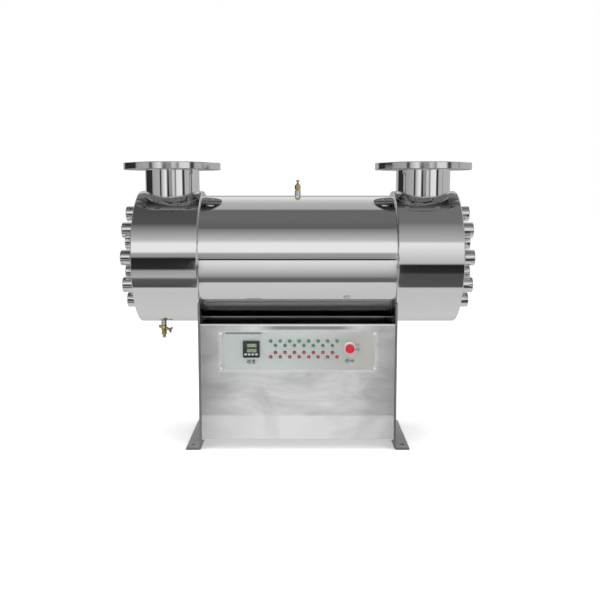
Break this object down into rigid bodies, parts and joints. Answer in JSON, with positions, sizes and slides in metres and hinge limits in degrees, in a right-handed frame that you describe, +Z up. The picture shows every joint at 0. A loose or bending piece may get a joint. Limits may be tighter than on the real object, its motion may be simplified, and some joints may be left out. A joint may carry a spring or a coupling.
{
  "type": "uv water clarifier",
  "caption": "Horizontal multi-lamp ultraviolet water clarifier: polished steel chamber with flanged pipe connections on a cabinet stand with lamp lights and a timer.",
  "frame": {"origin": "on the floor under the middle of the chamber", "axes": "+X along the chamber towards the right-hand flange as seen from the panel, -Y the panel side, +Z up"},
  "size_m": [1.031, 0.388, 0.834],
  "materials": {
    "polished_steel": "mirror-polished stainless steel",
    "turned_steel": "turned stainless steel",
    "plate_steel": "ground stainless plate",
    "cabinet_sheet": "polished stainless sheet",
    "side_plate_steel": "satin stainless plate",
    "hinge_steel": "satin",
    "lock_zinc": "bright plated zinc",
    "brass": "bright cast and turned brass",
    "screw_chrome": "bright plated",
    "seal_rubber": "matt black",
    "quartz": "clear quartz",
    "lamp_glass": "clear lamp tube",
    "lamp_ceramic": "white ceramic",
    "panel_acrylic": "clear",
    "legend_film": "tinted, satin",
    "bezel_chrome": "bright plated",
    "green_lens": "translucent green",
    "red_lens": "translucent red",
    "timer_plastic": "dark moulded",
    "display_glass": "olive display window",
    "key_plastic": "pale moulded",
    "switch_red": "red moulded",
    "switch_black": "black moulded",
    "ballast_case": "white painted steel case",
    "rail_zinc": "zinc plated",
    "breaker_plastic": "light grey moulded",
    "toggle_plastic": "black moulded",
    "terminal_plastic": "grey moulded",
    "gland_nylon": "black nylon"
  },
  "bodies": {
    "chassis": {"chamber_shell": "polished_steel", "left_drum": "polished_steel", "right_drum": "polished_steel", "left_nozzle": "polished_steel", "right_nozzle": "polished_steel", "left_flange": "polished_steel", "right_flange": "polished_steel", "vent_socket": "polished_steel", "drain_nipple": "polished_steel", "gland_nuts": "turned_steel", "gland_sockets": "turned_steel", "left_end_plate": "plate_steel", "right_end_plate": "plate_steel", "baffle_plates": "plate_steel", "cabinet_shell": "cabinet_sheet", "equipment_tray": "cabinet_sheet", "left_side_plate": "side_plate_steel", "right_side_plate": "side_plate_steel", "hinge_frame_leaves": "hinge_steel", "hinge_pins": "hinge_steel", "vent_body": "brass", "drain_body": "brass", "panel_screws": "screw_chrome", "panel_nuts": "screw_chrome", "seal_rings": "seal_rubber", "cable_caps": "seal_rubber", "quartz_sleeves": "quartz", "lamp_tubes": "lamp_glass", "lamp_bases": "lamp_ceramic", "control_panel": "panel_acrylic", "panel_film": "legend_film", "light_bezels": "bezel_chrome", "switch_collar": "bezel_chrome", "green_lenses": "green_lens", "red_lenses": "red_lens", "timer_bezel": "timer_plastic", "timer_body": "timer_plastic", "timer_displays": "display_glass", "switch_ring": "switch_black", "switch_block": "switch_black", "ballasts": "ballast_case", "din_rail": "rail_zinc", "breaker": "breaker_plastic", "terminal_blocks": "terminal_plastic", "cable_glands": "gland_nylon", "gland_locknuts": "gland_nylon"},
    "vent_screw": {"vent_screw": "brass"},
    "drain_handle": {"drain_handle": "brass"},
    "timer_key_1": {"timer_key_1": "key_plastic"},
    "timer_key_2": {"timer_key_2": "key_plastic"},
    "timer_key_3": {"timer_key_3": "key_plastic"},
    "timer_key_4": {"timer_key_4": "key_plastic"},
    "switch_head": {"switch_head": "switch_red", "switch_plunger": "switch_black"},
    "rear_door": {"rear_door": "cabinet_sheet", "door_gasket": "seal_rubber", "hinge_door_leaves": "hinge_steel", "lock_body": "lock_zinc"},
    "lock_cam": {"lock_cam": "lock_zinc"},
    "breaker_toggle": {"breaker_toggle": "toggle_plastic"}
  },
  "joints": [
    {"name": "vent_turn", "type": "hinge", "parent": "chassis", "child": "vent_screw", "pos_m": [0, 0, 0.78], "axis": [0, 0, 1], "range_deg": [0, 360]},
    {"name": "drain_turn", "type": "hinge", "parent": "chassis", "child": "drain_handle", "pos_m": [-0.407, 0, 0.3375], "axis": [0.9511, 0, -0.309], "range_deg": [0, 90]},
    {"name": "switch_push", "type": "slide", "parent": "chassis", "child": "switch_head", "axis": [0, 1, 0], "range_m": [0, 0.005], "stiffness_N_per_m": 1500},
    {"name": "door_swing", "type": "hinge", "parent": "chassis", "child": "rear_door", "pos_m": [-0.2699, 0.1543, 0.222], "axis": [0, 0, 1], "range_deg": [0, 110]},
    {"name": "lock_turn", "type": "hinge", "parent": "rear_door", "child": "lock_cam", "pos_m": [0.2395, 0.15, 0.222], "axis": [0, 1, 0], "range_deg": [0, 90]},
    {"name": "breaker_throw", "type": "hinge", "parent": "chassis", "child": "breaker_toggle", "pos_m": [-0.09, 0.0375, 0.088], "axis": [1, 0, 0], "range_deg": [-60, 0]},
    {"name": "key_1_push", "type": "slide", "parent": "chassis", "child": "timer_key_1", "axis": [0, 1, 0], "range_m": [0, 0.0005], "stiffness_N_per_m": 1000},
    {"name": "key_2_push", "type": "slide", "parent": "chassis", "child": "timer_key_2", "axis": [0, 1, 0], "range_m": [0, 0.0005], "stiffness_N_per_m": 1000},
    {"name": "key_3_push", "type": "slide", "parent": "chassis", "child": "timer_key_3", "axis": [0, 1, 0], "range_m": [0, 0.0005], "stiffness_N_per_m": 1000},
    {"name": "key_4_push", "type": "slide", "parent": "chassis", "child": "timer_key_4", "axis": [0, 1, 0], "range_m": [0, 0.0005], "stiffness_N_per_m": 1000}
  ]
}
